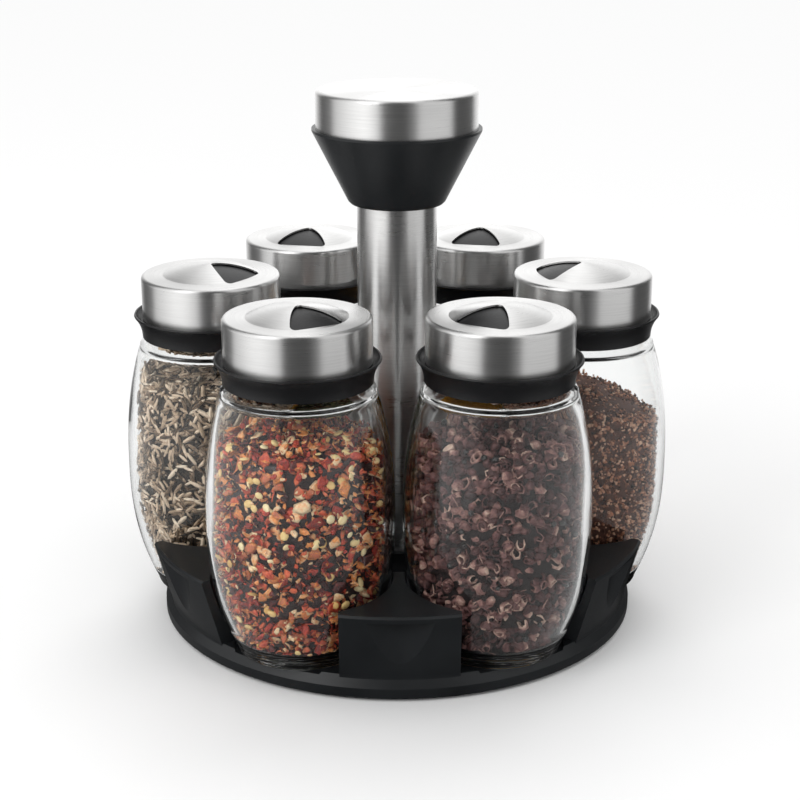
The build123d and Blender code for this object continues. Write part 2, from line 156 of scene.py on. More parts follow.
def thread_rise(height, angle):
    """Return how far the glass thread stands proud at a height and an angle round the neck."""
    rise = np.zeros(np.broadcast(height, angle).shape)
    for lap in range(2):
        turns = angle / tau + lap
        centre = THREAD_START + THREAD_PITCH * turns
        run_in = np.clip(turns * THREAD_RUNOUTS_PER_TURN, 0, 1)
        run_out = np.clip((THREAD_TURNS - turns) * THREAD_RUNOUTS_PER_TURN, 0, 1)
        ridge = np.exp(-(((height - centre) / THREAD_HALF_WIDTH) ** 2) * 1.4)
        rise = np.maximum(rise, THREAD_PROUD * ridge * (run_in * run_out))
    return rise


def turned_grid(radii, heights, segments):
    """Return the vertices and faces of a turned outline that starts and ends on the axis."""
    angles = np.arange(segments) * tau / segments
    ring_radii = np.repeat(radii[1:-1, None], segments, axis=1)
    ring_heights = np.repeat(heights[1:-1, None], segments, axis=1)
    rings = np.stack([ring_radii * np.cos(angles), ring_radii * np.sin(angles), ring_heights], -1)
    count = len(radii) - 2
    vertices = np.concatenate(
        [[[0, 0, heights[0]]], rings.reshape(-1, 3), [[0, 0, heights[-1]]]]
    )
    faces = []
    last = len(vertices) - 1
    for seg in range(segments):
        after = (seg + 1) % segments
        faces.append((0, 1 + after, 1 + seg))
        for row in range(count - 1):
            low = 1 + row * segments
            high = low + segments
            faces.append((low + seg, low + after, high + after, high + seg))
        top = 1 + (count - 1) * segments
        faces.append((top + seg, top + after, last))
    return vertices, faces


def add_mesh(name, vertices, faces, smooth=True):
    """Make an object from vertices in metres and faces."""
    mesh = bpy.data.meshes.new(name)
    mesh.from_pydata(np.asarray(vertices).tolist(), [], [tuple(face) for face in faces])
    mesh.polygons.foreach_set("use_smooth", [smooth] * len(mesh.polygons))
    mesh.update()
    piece = bpy.data.objects.new(name, mesh)
    bpy.context.scene.collection.objects.link(piece)
    return piece


def jar_place(number):
    """Return the jar's axis and underside from the frame, in metres."""
    low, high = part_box(f"jar_glass_{number}")
    return np.array([(low.x + high.x) / 2, (low.y + high.y) / 2, low.z])


def make_glass(number, material):
    """Turn one jar's glass, with its screw thread and slightly uneven pressed inner wall."""
    radii, heights = glass_profile()
    vertices, faces = turned_grid(radii, heights, GLASS_SEGMENTS)
    angle = np.arctan2(vertices[:, 1], vertices[:, 0]) % tau
    radius = np.hypot(vertices[:, 0], vertices[:, 1])
    height = vertices[:, 2]
    outer = np.arange(len(vertices)) < len(vertices) // 2
    neck = (radius > NECK_RADIUS - 0.05) & (height > NECK_HEIGHT + 0.3) & outer
    rise = np.where(neck, thread_rise(height, angle), 0)
    inner_wall = ~outer & (radius > NECK_BORE + 2) & (height < INNER_SHOULDER_HEIGHT)
    sway = BROAD_SWAY * np.sin(3 * angle + number) + FINE_SWAY * np.sin(5 * angle + 0.12 * height)
    rise = np.where(inner_wall, sway * np.clip((height - 8) / 20, 0, 1), rise)
    scale = np.where(radius > 0, (radius + rise) / np.maximum(radius, 1e-9), 1)
    vertices[:, :2] *= scale[:, None]
    piece = add_mesh(f"jar_{number}_clear_glass", vertices * MM + jar_place(number), faces)
    piece.data.materials.append(material)
    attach(piece, f"jar_{number}")
    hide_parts(f"jar_glass_{number}")


# ------------------------------------------------------------------ node helpers


class Shader:
    """A material's node tree, with short ways to add and join its nodes."""

    def __init__(self, name):
        self.material = bpy.data.materials.new(name)
        self.material.use_nodes = True
        self.tree = self.material.node_tree
        self.surface = self.tree.nodes["Principled BSDF"]
        self.output = self.tree.nodes["Material Output"]

    def set(self, **values):
        """Set the shader's own sockets; underscores in names stand for spaces."""
        for name, value in values.items():
            self.surface.inputs[name.replace("_", " ")].default_value = value

    def add(self, kind, **settings):
        """Add a node, setting its properties by name and its sockets by the sockets' names."""
        node = self.tree.nodes.new(kind)
        for name, value in settings.items():
            if hasattr(node, name):
                setattr(node, name, value)
            else:
                node.inputs[name.replace("_", " ")].default_value = value
        return node

    def join(self, source, target):
        """Link one socket to another."""
        self.tree.links.new(source, target)

    def math(self, operation, first, second=None, clamp=False):
        """Add a math node on sockets or numbers and return its output."""
        node = self.add("ShaderNodeMath", operation=operation, use_clamp=clamp)
        for index, value in enumerate((first, second)):
            if value is None:
                continue
            if isinstance(value, (int, float)):
                node.inputs[index].default_value = value
            else:
                self.join(value, node.inputs[index])
        return node.outputs[0]

    def place(self, centre=(0, 0, 0)):
        """Return the point's place in the frame, measured from a centre."""
        coordinates = self.add("ShaderNodeTexCoord").outputs["Object"]
        shift = self.add("ShaderNodeVectorMath", operation="SUBTRACT")
        shift.inputs[1].default_value = centre
        self.join(coordinates, shift.inputs[0])
        return shift.outputs[0]

    def noise(self, vector, scale, detail=3.0, roughness=0.55):
        """Add a noise texture on a vector and return its factor."""
        node = self.add("ShaderNodeTexNoise", Scale=scale, Detail=detail, Roughness=roughness)
        self.join(vector, node.inputs["Vector"])
        return node.outputs["Fac"]

    def spread(self, value, low, high, out_low, out_high):
        """Map a value's range to another and return the result."""
        node = self.add("ShaderNodeMapRange")
        limits = {"From Min": low, "From Max": high, "To Min": out_low, "To Max": out_high}
        for name, number in limits.items():
            node.inputs[name].default_value = number
        self.join(value, node.inputs["Value"])
        return node.outputs["Result"]

    def ramp(self, factor, stops):
        """Colour a factor by (position, colour) stops and return the colour."""
        node = self.add("ShaderNodeValToRGB")
        elements = node.color_ramp.elements
        while len(elements) < len(stops):
            elements.new(0.5)
        for element, (position, colour) in zip(elements, stops):
            element.position = position
            element.color = (*colour, 1)
        self.join(factor, node.inputs["Fac"])
        return node.outputs["Color"]

    def tint(self, factor, stops):
        """Colour the surface by a factor and (position, colour) stops."""
        self.join(self.ramp(factor, stops), self.surface.inputs["Base Color"])

    def roughen(self, value):
        """Drive the surface's roughness by a value."""
        self.join(value, self.surface.inputs["Roughness"])

    def glow(self, strength=1.0):
        """Make the surface a lamp instead, and return its emission node."""
        emission = self.add("ShaderNodeEmission", Strength=strength)
        self.join(emission.outputs[0], self.output.inputs["Surface"])
        self.tree.nodes.remove(self.surface)
        return emission

    def bump(self, height, strength, distance):
        """Bump the surface by a height from 0 to 1, which stands for up to distance metres."""
        node = self.add("ShaderNodeBump", Strength=strength, Distance=distance)
        self.join(height, node.inputs["Height"])
        self.join(node.outputs["Normal"], self.surface.inputs["Normal"])


# ------------------------------------------------------------------ materials


STEEL_ROUGHNESS = 0.29


def brushed_steel(name, centre=(0, 0, 0)):
    """Steel brushed round an upright axis: rings on top, level lines on the sides."""
    shader = Shader(name)
    place = shader.place(centre)
    parts = shader.add("ShaderNodeSeparateXYZ")
    shader.join(place, parts.inputs[0])
    flat = shader.add("ShaderNodeCombineXYZ")
    shader.join(parts.outputs["X"], flat.inputs["X"])
    shader.join(parts.outputs["Y"], flat.inputs["Y"])
    length = shader.add("ShaderNodeVectorMath", operation="LENGTH")
    shader.join(flat.outputs[0], length.inputs[0])
    level = shader.math("ADD", length.outputs["Value"], parts.outputs["Z"])
    around = shader.add("ShaderNodeVectorMath", operation="NORMALIZE")
    shader.join(flat.outputs[0], around.inputs[0])
    slow = shader.add("ShaderNodeVectorMath", operation="SCALE", Scale=0.0006)
    shader.join(around.outputs[0], slow.inputs[0])
    lift = shader.add("ShaderNodeCombineXYZ")
    shader.join(level, lift.inputs["Z"])
    lines = shader.add("ShaderNodeVectorMath", operation="ADD")
    shader.join(slow.outputs[0], lines.inputs[0])
    shader.join(lift.outputs[0], lines.inputs[1])
    fine = shader.noise(lines.outputs[0], 2600, detail=4, roughness=0.7)
    broad = shader.noise(place, 55, detail=2)
    rough = shader.math("ADD", shader.spread(fine, 0.25, 0.75, -0.03, 0.04), STEEL_ROUGHNESS)
    smudge = shader.spread(broad, 0.35, 0.7, -0.02, 0.04)
    shader.roughen(shader.math("ADD", rough, smudge))
    shader.tint(fine, [(0.3, (0.6, 0.597, 0.592)), (0.7, (0.7, 0.697, 0.69))])
    shader.bump(fine, 0.12, 0.00003)
    tangent = shader.add("ShaderNodeTangent", direction_type="RADIAL", axis="Z")
    shader.join(tangent.outputs[0], shader.surface.inputs["Tangent"])
    shader.set(Metallic=1.0, Anisotropic=0.78, Anisotropic_Rotation=0.25)
    return shader.material


def moulded_black(name, colour, roughness, grain, depth):
    """Moulded black plastic with a fine spark-eroded grain and faint handling marks."""
    shader = Shader(name)
    place = shader.place()
    pits = shader.noise(place, grain, detail=3, roughness=0.65)
    cloud = shader.noise(place, 38, detail=3)
    rough = shader.spread(cloud, 0.3, 0.7, roughness - 0.04, roughness + 0.07)
    fleck = shader.spread(pits, 0.3, 0.7, -0.05, 0.05)
    shader.roughen(shader.math("ADD", rough, fleck))
    dark = tuple(value * 0.75 for value in colour)
    light = tuple(value * 1.3 for value in colour)
    shader.tint(cloud, [(0.3, dark), (0.7, light)])
    shader.bump(pits, depth, 0.00006)
    shader.set(Specular_IOR_Level=0.32)
    return shader.material


def clear_glass(name):
    """Clear pressed glass that lets the lamps reach what stands in it."""
    shader = Shader(name)
    shader.set(Base_Color=(0.99, 0.997, 0.994, 1), Roughness=0.0, IOR=1.5)
    shader.set(Transmission_Weight=1.0, Specular_Tint=(0.6, 0.6, 0.6, 1))
    ripple = shader.noise(shader.place(), 60, detail=1)
    shader.bump(ripple, 0.12, 0.0006)
    rays = shader.add("ShaderNodeLightPath")
    through = shader.add("ShaderNodeBsdfTransparent", Color=(0.93, 0.95, 0.94, 1))
    mix = shader.add("ShaderNodeMixShader")
    shader.join(rays.outputs["Is Shadow Ray"], mix.inputs["Fac"])
    shader.join(shader.surface.outputs[0], mix.inputs[1])
    shader.join(through.outputs[0], mix.inputs[2])
    shader.join(mix.outputs[0], shader.output.inputs["Surface"])
    return shader.material


def plain_metal(name, colour, roughness):
    """Plated steel with a fine drawn texture."""
    shader = Shader(name)
    drawn = shader.noise(shader.place(), 900, detail=3)
    shader.roughen(shader.spread(drawn, 0.3, 0.7, roughness - 0.05, roughness + 0.08))
    shader.tint(drawn, [(0.3, tuple(value * 0.85 for value in colour)), (0.7, colour)])
    shader.set(Metallic=1.0)
    return shader.material


def soft_polymer(name, colour, roughness, grain):
    """Rubber, silicone or nylon: an even colour with a fine uneven skin."""
    shader = Shader(name)
    skin = shader.noise(shader.place(), grain, detail=4)
    shader.tint(skin, [(0.3, tuple(value * 0.8 for value in colour)), (0.7, colour)])
    shader.roughen(shader.spread(skin, 0.3, 0.7, roughness - 0.08, roughness + 0.08))
    shader.bump(skin, 0.2, 0.00005)
    return shader.material


def dried_plant(name, stops, grain=1400, roughness=0.62, shine=0.3, depth=0.5):
    """Dried spice: each grain's tone picks its colour, and fine noise mottles and wrinkles it."""
    shader = Shader(name)
    tone = shader.add("ShaderNodeAttribute", attribute_name="tone").outputs["Fac"]
    mottle = shader.noise(shader.place(), grain, detail=4, roughness=0.7)
    shift = shader.spread(mottle, 0.3, 0.7, -0.11, 0.11)
    shader.tint(shader.math("ADD", tone, shift, clamp=True), stops)
    shader.roughen(shader.spread(mottle, 0.3, 0.7, roughness - 0.12, roughness + 0.12))
    shader.bump(mottle, depth, 0.0003)
    shader.set(Specular_IOR_Level=shine)
    return shader.material


# ------------------------------------------------------------------ grains


def curled_flake(rng, curl, thickness, stretch):
    """Return a thin curled flake with a ragged outline, about 1 across.

    Every grain is its vertices, its triangles and how much each vertex is toned up or down.
    """
    angles = np.arange(8) * tau / 8 + rng.uniform(-0.25, 0.25, 8)
    reach = 0.5 * rng.uniform(0.6, 1.1, 8)
    rim = np.stack([reach * np.cos(angles) * stretch, reach * np.sin(angles)], 1)
    inner = rim[::2] * rng.uniform(0.4, 0.7, (4, 1))
    plan = np.concatenate([rim, inner])
    bend = curl * (plan[:, 0] ** 2 - 0.5 * plan[:, 1] ** 2) + rng.normal(0, 0.04, 12)
    top = np.column_stack([inner, bend[8:] + thickness / 2])
    bottom = np.column_stack([inner, bend[8:] - thickness / 2])
    faces = [(8, 9, 10), (8, 10, 11), (12, 14, 13), (12, 15, 14)]
    for side in range(4):
        near, after = side, (side + 1) % 4
        first, middle, last = 2 * side, 2 * side + 1, (2 * side + 2) % 8
        for lift, order in ((8, 1), (12, -1)):
            corners = [
                (lift + near, first, middle),
                (lift + near, middle, lift + after),
                (lift + after, middle, last),
            ]
            faces += [corner[::order] for corner in corners]
    vertices = np.concatenate([np.column_stack([rim, bend[:8]]), top, bottom])
    tint = np.concatenate([rng.uniform(0, 0.14, 8), rng.uniform(-0.1, 0.03, 8)])
    return vertices, np.array(faces), tint


def round_grain(rng, rows, sides, size, roughness=0.0, stripes=0.0, bow=0.0):
    """Return a seed or crumb: a squashed ball, rough, striped lengthwise and bowed along X."""
    polar = pi * np.arange(1, rows)[:, None] / rows
    angle = np.arange(sides) * tau / sides
    across = 0.5 * np.sin(polar) * (1 + rng.normal(0, roughness, (rows - 1, sides)))
    along = np.repeat(-0.5 * np.cos(polar), sides, axis=1)
    rings = np.stack([along, across * np.cos(angle), across * np.sin(angle)], -1)
    vertices = np.concatenate([[[-0.5, 0, 0]], rings.reshape(-1, 3), [[0.5, 0, 0]]]) * size
    vertices[:, 2] += bow * (vertices[:, 0] / size[0]) ** 2 * size[0]
    last = len(vertices) - 1
    faces = []
    for side in range(sides):
        after = (side + 1) % sides
        faces.append((0, 1 + after, 1 + side))
        for row in range(rows - 2):
            low = 1 + row * sides
            high = low + sides
            faces.append((low + side, low + after, high + after))
            faces.append((low + side, high + after, high + side))
        top = 1 + (rows - 2) * sides
        faces.append((top + side, top + after, last))
    bands = np.tile(stripes * np.cos(angle * sides / 2), rows - 1)
    return vertices, np.array(faces), np.concatenate([[-0.1], bands, [-0.1]])


def split_husk(rng, rows=4, sides=7):
    """Return an open split husk about 1 across: dark and warty outside, pale at the lip, painted
    shade down inside.
    """
    mouth = 0.75 * rng.uniform(0.8, 1.5)
    polar = pi - (pi - mouth) * np.arange(rows + 1) / rows
    angle = np.arange(sides) * tau / sides
    gape = 1 + 0.45 * np.cos(angle) ** 2 * (np.arange(rows + 1)[:, None] / rows) ** 3
    ring = 0.5 * np.sin(polar)[:, None] * gape
    level = np.repeat(0.5 * np.cos(polar)[:, None], sides, axis=1)
    shell = np.stack([ring * np.cos(angle), ring * np.sin(angle) * 0.82, level], -1)
    shell *= 1 + rng.normal(0, 0.09, (rows + 1, sides, 1))
    lining = shell[[rows, rows - 2, 0]] * [0.8, 0.8, 0.75]
    vertices = np.concatenate([shell.reshape(-1, 3), lining.reshape(-1, 3)])
    faces = []
    for row in range(rows + 2):
        low = row * sides
        high = low + sides
        for side in range(sides):
            after = (side + 1) % sides
            faces.append((low + side, low + after, high + after))
            faces.append((low + side, high + after, high + side))
    # The pale lining at the lip is its own colour; its darkening towards the cup's bottom is
    # painted shade in the hollow.
    lip_tone_and_inner_shade = [0.0] * rows + [0.22, 0.2, 0.08, -0.1]
    tint = np.repeat(lip_tone_and_inner_shade, sides) + rng.normal(0, 0.08, len(vertices))
    return vertices, np.array(faces), tint


# Shares of a filling's grains on the wall, on the filling's top and on the floor
GRAIN_SHARES = (0.8, 0.14, 0.06)
GRAIN_GAP = 0.12  # the least gap between a grain and the glass
CORE_ROWS = 24
CORE_SIDES = 48
WAVE_HEIGHT = 0.7
MOUND_LEAN = 400  # near half the belly radius squared: turns a mound's drop into its slope


class Pile:
    """One jar's loose filling: grains laid on the cavity's wall, floor and the filling's top.

    below is how far its middle lies under the frame's filling, slope how much lower it is than
    that towards slope_bearing in degrees, and mound how much lower round its edge.
    """

    def __init__(self, number, below=0.0, slope=0.0, slope_bearing=0.0, mound=0.0):
        self.number = number
        self.rng = np.random.default_rng(number)
        self.top = (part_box(f"jar_spice_{number}")[1].z - jar_place(number)[2]) / MM - below
        self.slope = slope
        self.bearing = radians(slope_bearing)
        self.mound = mound
        self.vertices, self.faces, self.tones, self.kinds = [], [], [], []
        self.count = 0

    def surface_height(self, x, y):
        """Return the filling's height at a place from the jar's axis."""
        along = x * cos(self.bearing) + y * sin(self.bearing)
        reach = np.hypot(x, y) / BELLY_RADIUS
        wave = WAVE_HEIGHT * np.sin(0.23 * x + self.number) * np.cos(0.19 * y)
        return self.top - self.slope * along / BELLY_RADIUS - self.mound * reach**2 + wave

    def shell_points(self, count):
        """Return points on the wall under the filling's top, and the wall's normals."""
        low = BASE_THICKNESS + 0.6
        height = self.rng.uniform(low, self.top + self.slope, count * 2)
        angle = self.rng.uniform(0, tau, count * 2)
        radius = cavity_radius(height)
        x, y = radius * np.cos(angle), radius * np.sin(angle)
        keep = height < self.surface_height(x, y)
        x, y, height, angle = (part[keep][:count] for part in (x, y, height, angle))
        rise = cavity_radius(height + 0.5) - cavity_radius(height - 0.5)
        normal = np.stack([np.cos(angle), np.sin(angle), -rise], 1)
        normal /= np.linalg.norm(normal, axis=1, keepdims=True)
        return np.stack([x, y, height], 1), normal

    def top_points(self, count):
        """Return points on the filling's top surface, and its normals."""
        angle = self.rng.uniform(0, tau, count)
        share = np.sqrt(self.rng.uniform(0, 1, count))
        limit = cavity_radius(np.full(count, min(self.top, INNER_SHOULDER_HEIGHT))) - 1.2
        x, y = share * limit * np.cos(angle), share * limit * np.sin(angle)
        height = self.surface_height(x, y)
        lean_x, lean_y = self.mound * x / MOUND_LEAN, self.mound * y / MOUND_LEAN
        normal = np.stack([lean_x, lean_y, np.ones(count)], 1)
        normal /= np.linalg.norm(normal, axis=1, keepdims=True)
        return np.stack([x, y, height], 1), normal

    def floor_points(self, count):
        """Return points on the cavity's floor, facing down."""
        angle = self.rng.uniform(0, tau, count)
        limit = float(cavity_radius(BASE_THICKNESS + 0.3))
        share = np.sqrt(self.rng.uniform(0, 1, count)) * limit
        place = np.stack([share * np.cos(angle), share * np.sin(angle)], 1)
        place = np.column_stack([place, np.full(count, BASE_THICKNESS + 0.25)])
        return place, np.tile([0.0, 0.0, -1.0], (count, 1))

    def scatter(self, shapes, count, size, tilt, depth, kind, tone=(0.0, 1.0)):
        """Lay grains of some shapes on the wall, the top and the floor.

        size is (smallest, largest) in mm, tilt the largest lean in radians from lying flat on
        the surface, depth how deep below it they may start, kind the number of their material
        and tone the range of shades that a grain draws from.
        """
        layers = (self.shell_points, self.top_points, self.floor_points)
        laid = [layer(int(count * share)) for layer, share in zip(layers, GRAIN_SHARES)]
        place = np.concatenate([points for points, _ in laid])
        normal = np.concatenate([normals for _, normals in laid])
        total = len(place)
        scale = self.rng.uniform(*size, total)
        lean = self.rng.uniform(0, tilt, total)
        which = self.rng.integers(0, len(shapes), total)
        extents = np.array([np.abs(shape[0]).max(0) for shape in shapes])[which]
        sideways = np.cross(normal, self.rng.normal(size=(total, 3)))
        sideways /= np.linalg.norm(sideways, axis=1, keepdims=True)
        other = np.cross(normal, sideways)
        long_axis = sideways * np.cos(lean)[:, None] - normal * np.sin(lean)[:, None]
        face_axis = np.cross(long_axis, other)
        half = extents[:, 0] * np.abs(np.sin(lean)) + extents[:, 2] * np.abs(np.cos(lean))
        sink = scale * half + self.rng.uniform(0, depth, total) + 0.1
        place = place - normal * sink[:, None]
        turn = np.stack([long_axis, other, face_axis], 2)
        shade = self.rng.uniform(*tone, total)
        for index, (vertices, faces, tint) in enumerate(shapes):
            chosen = np.nonzero(which == index)[0]
            moved = np.einsum("nij,kj->nki", turn[chosen], vertices)
            moved = moved * scale[chosen, None, None] + place[chosen, None, :]
            starts = self.count + np.arange(len(chosen)) * len(vertices)
            self.vertices.append(self.keep_inside(moved.reshape(-1, 3)))
            self.faces.append((faces[None] + starts[:, None, None]).reshape(-1, 3))
            self.tones.append((shade[chosen, None] + tint).reshape(-1))
            self.kinds.append(np.full(len(chosen) * len(faces), kind))
            self.count += len(chosen) * len(vertices)

    def keep_inside(self, vertices):
        """Press vertices back inside the cavity's wall and floor."""
        vertices[:, 2] = np.maximum(vertices[:, 2], BASE_THICKNESS + GRAIN_GAP)
        limit = cavity_radius(np.minimum(vertices[:, 2], INNER_SHOULDER_HEIGHT)) - GRAIN_GAP
        radius = np.hypot(vertices[:, 0], vertices[:, 1])
        vertices[:, :2] *= np.minimum(1, limit / np.maximum(radius, 1e-9))[:, None]
        return vertices

    def core(self, inset, kind, tone=0.3):
        """Fill the middle with a plain body seen between the grains; at a near-black tone it is
        painted shade.
        """
        heights = np.linspace(BASE_THICKNESS + inset, self.top, CORE_ROWS)
        angles = np.arange(CORE_SIDES) * tau / CORE_SIDES
        radius = np.repeat((cavity_radius(heights) - inset)[:, None], CORE_SIDES, axis=1)
        x, y = radius * np.cos(angles), radius * np.sin(angles)
        z = np.minimum(heights[:, None], self.surface_height(x, y) - inset)
        rings = np.stack([x, y, z], -1).reshape(-1, 3)
        centre_top = float(self.surface_height(0.0, 0.0)) - inset
        vertices = np.concatenate([[[0, 0, BASE_THICKNESS + inset]], rings, [[0, 0, centre_top]]])
        last = len(vertices) - 1
        top = last - CORE_SIDES
        faces = []
        for side in range(CORE_SIDES):
            after = (side + 1) % CORE_SIDES
            faces.append((0, 1 + after, 1 + side))
            for row in range(CORE_ROWS - 1):
                low = 1 + row * CORE_SIDES
                high = low + CORE_SIDES
                faces.append((low + side, low + after, high + after))
                faces.append((low + side, high + after, high + side))
            faces.append((top + side, top + after, last))
        self.vertices.append(vertices)
        self.faces.append(np.array(faces) + self.count)
        self.tones.append(np.full(len(vertices), tone))
        self.kinds.append(np.full(len(faces), kind))
        self.count += len(vertices)

    def finish(self, name, materials):
        """Join the grains into one piece that stands for the jar's filling."""
        vertices = np.concatenate(self.vertices) * MM + jar_place(self.number)
        piece = add_mesh(name, vertices, np.concatenate(self.faces), smooth=True)
        tone = piece.data.attributes.new("tone", "FLOAT", "POINT")
        tone.data.foreach_set("value", np.concatenate(self.tones).astype(np.float32))
        kinds = np.concatenate(self.kinds).astype(np.int32)
        piece.data.polygons.foreach_set("material_index", kinds)
        for material in materials:
            piece.data.materials.append(material)
        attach(piece, f"jar_{self.number}")
        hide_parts(f"jar_spice_{self.number}")


# ------------------------------------------------------------------ the six fillings


def make_chilli(number):
    """Crushed red chilli: large and small curled flakes of skin, with pale round seeds."""
    pile = Pile(number, below=6.5, mound=8.0)
    rng = pile.rng
    flakes = [
        curled_flake(rng, rng.uniform(-1.3, 1.3), 0.06, rng.uniform(1.0, 2.1)) for _ in range(14)
    ]
    seeds = [round_grain(rng, 4, 8, np.array([1.0, 0.86, 0.3]), 0.05) for _ in range(4)]
    # Painted shade: a near-black core shows in the gaps between the flakes.
    pile.core(3.4, 0, tone=0.0)
    pile.scatter(flakes, 2500, (2.4, 5.0), 1.1, 3.0, 0)
    pile.scatter(flakes, 3200, (1.0, 2.4), 1.4, 1.6, 0)
    pile.scatter(seeds, 170, (2.4, 3.6), 0.9, 0.9, 1)
    skin = dried_plant(
        "chilli_skin",
        [
            # The stop at 0 also colours the core, painted shade deep between the flakes.
            (0.0, (0.012, 0.004, 0.004)),
            (0.18, (0.11, 0.016, 0.014)),
            (0.36, (0.52, 0.045, 0.026)),
            (0.52, (0.78, 0.15, 0.055)),
            (0.64, (0.48, 0.15, 0.08)),
            (0.78, (0.95, 0.33, 0.07)),
            (0.9, (0.94, 0.53, 0.27)),
            (1.0, (0.98, 0.76, 0.48)),
        ],
        roughness=0.5,
        shine=0.5,
    )
    seed = dried_plant(
        "chilli_seed",
        [(0.0, (0.72, 0.42, 0.13)), (0.5, (0.93, 0.69, 0.31)), (1.0, (0.98, 0.84, 0.52))],
        grain=700,
        roughness=0.5,
        depth=0.25,
    )
    pile.finish(f"chilli_flakes_{number}", [skin, seed])


def make_husks(number):
    """Split red-brown pepper husks, with a few black seeds and thin stalks."""
    pile = Pile(number, below=7.0, mound=6.0)
    rng = pile.rng
    husks = [split_husk(rng) for _ in range(9)]
    seeds = [round_grain(rng, 4, 7, np.array([1.0, 0.9, 0.9])) for _ in range(2)]
    stalks = [round_grain(rng, 4, 4, np.array([1.0, 0.12, 0.12]), 0.05, bow=0.2) for _ in range(3)]
    # Painted shade: a near-black core shows in the gaps between the husks.
    pile.core(3.6, 0, tone=0.0)
    pile.scatter(husks, 2050, (3.0, 4.4), 3.1, 2.2, 0, tone=(0.08, 0.8))
    pile.scatter(seeds, 80, (1.8, 2.3), 1.0, 1.0, 1, tone=(0.0, 0.2))
    pile.scatter(stalks, 120, (2.5, 5.0), 0.4, 0.5, 0, tone=(0.6, 0.9))
    husk = dried_plant(
        "pepper_husk",
        [
            # The stop at 0 also colours the core, painted shade deep between the husks.
            (0.0, (0.012, 0.007, 0.007)),
            (0.3, (0.068, 0.027, 0.026)),
            (0.6, (0.16, 0.07, 0.066)),
            (0.8, (0.36, 0.195, 0.165)),
            (1.0, (0.74, 0.54, 0.43)),
        ],
        grain=1300,
        roughness=0.6,
        depth=0.9,
    )
    seed = dried_plant(
        "pepper_seed",
        [(0.0, (0.008, 0.007, 0.007)), (1.0, (0.04, 0.03, 0.03))],
        roughness=0.3,
        shine=0.6,
    )
    pile.finish(f"pepper_husks_{number}", [husk, seed])


def make_cumin(number):
    """Slender ridged seeds, grey-green to straw, lying every way."""
    pile = Pile(number, below=1.0, slope=2.5, slope_bearing=-60, mound=-2.0)
    rng = pile.rng
    seeds = [
        round_grain(rng, 4, 4, np.array([1.0, 0.25, 0.21]), 0.06, 0.13, rng.uniform(-0.16, 0.2))
        for _ in range(9)
    ]
    # Painted shade: a near-black core shows in the gaps between the seeds.
    pile.core(2.9, 0, tone=0.0)
    pile.scatter(seeds, 6400, (4.2, 6.4), 0.6, 2.7, 0)
    seed = dried_plant(
        "cumin_seed",
        [
            # The stop at 0 also colours the core, painted shade deep between the seeds.
            (0.0, (0.02, 0.014, 0.01)),
            (0.2, (0.14, 0.092, 0.056)),
            (0.5, (0.48, 0.345, 0.235)),
            (0.8, (0.82, 0.64, 0.48)),
            (1.0, (0.97, 0.83, 0.67)),
        ],
        grain=900,
        roughness=0.6,
    )
    pile.finish(f"cumin_seeds_{number}", [seed])


def make_ground_pepper(number):
    """Coarse ground brown pepper, heaped high on the inner side."""
    pile = Pile(number, slope=9.0)
    rng = pile.rng
    crumbs = [round_grain(rng, 2, 4, np.array([1.0, 0.9, 0.75]), 0.25) for _ in range(12)]
    pile.core(1.5, 0, tone=0.2)
    pile.scatter(crumbs, 13500, (0.9, 2.2), 1.5, 1.2, 0)
    pile.scatter(crumbs, 1300, (2.2, 3.4), 1.5, 0.8, 0, tone=(0.2, 0.8))
    crumb = dried_plant(
        "ground_pepper",
        [
            (0.0, (0.015, 0.008, 0.006)),
            (0.3, (0.13, 0.046, 0.027)),
            (0.65, (0.55, 0.235, 0.13)),
            (1.0, (0.97, 0.66, 0.47)),
        ],
        grain=1800,
        roughness=0.75,
        shine=0.15,
        depth=1.0,
    )
    pile.finish(f"ground_pepper_{number}", [crumb])


def make_curry(number):
    """Fine golden curry powder with small lumps."""
    pile = Pile(number, slope=3.0, slope_bearing=120, mound=2.0)
    rng = pile.rng
    lumps = [round_grain(rng, 3, 5, np.array([1.0, 0.9, 0.7]), 0.18) for _ in range(6)]
    pile.core(0.8, 0, tone=0.42)
    pile.scatter(lumps, 7600, (0.5, 1.6), 1.5, 0.35, 0, tone=(0.15, 0.85))
    powder = dried_plant(
        "curry_powder",
        [(0.0, (0.3, 0.11, 0.012)), (0.5, (0.62, 0.29, 0.03)), (1.0, (0.85, 0.52, 0.1))],
        grain=2400,
        roughness=0.85,
        shine=0.1,
        depth=1.0,
    )
    pile.finish(f"curry_powder_{number}", [powder])


def make_herbs(number):
    """Rubbed green herb leaves with pale stalks."""
    pile = Pile(number, slope=2.0, slope_bearing=200, mound=2.0)
    rng = pile.rng
    leaves = [
        curled_flake(rng, rng.uniform(-1.2, 1.2), 0.05, rng.uniform(1.2, 2.2)) for _ in range(10)
    ]
    stalks = [round_grain(rng, 4, 5, np.array([1.0, 0.1, 0.1]), 0.04, bow=0.1) for _ in range(3)]
    # Painted shade: a near-black core shows in the gaps between the leaves.
    pile.core(2.4, 0, tone=0.0)
    pile.scatter(leaves, 6200, (1.4, 3.2), 1.0, 2.1, 0)
    pile.scatter(stalks, 420, (2.0, 5.0), 0.3, 0.5, 0, tone=(0.8, 1.0))
    leaf = dried_plant(
        "herb_leaf",
        [
            # The stop at 0 also colours the core, painted shade deep between the leaves.
            (0.0, (0.02, 0.027, 0.01)),
            (0.3, (0.1, 0.13, 0.045)),
            (0.7, (0.24, 0.28, 0.11)),
            (1.0, (0.56, 0.53, 0.31)),
        ],
        roughness=0.7,
    )
    pile.finish(f"herb_leaves_{number}", [leaf])


# ------------------------------------------------------------------ the frame's own nodes


def paint(node, material):
    """Give a frame node its material in place of the one it came with."""
    mesh = nodes[node].data
    mesh.materials.clear()
    mesh.materials.append(material)


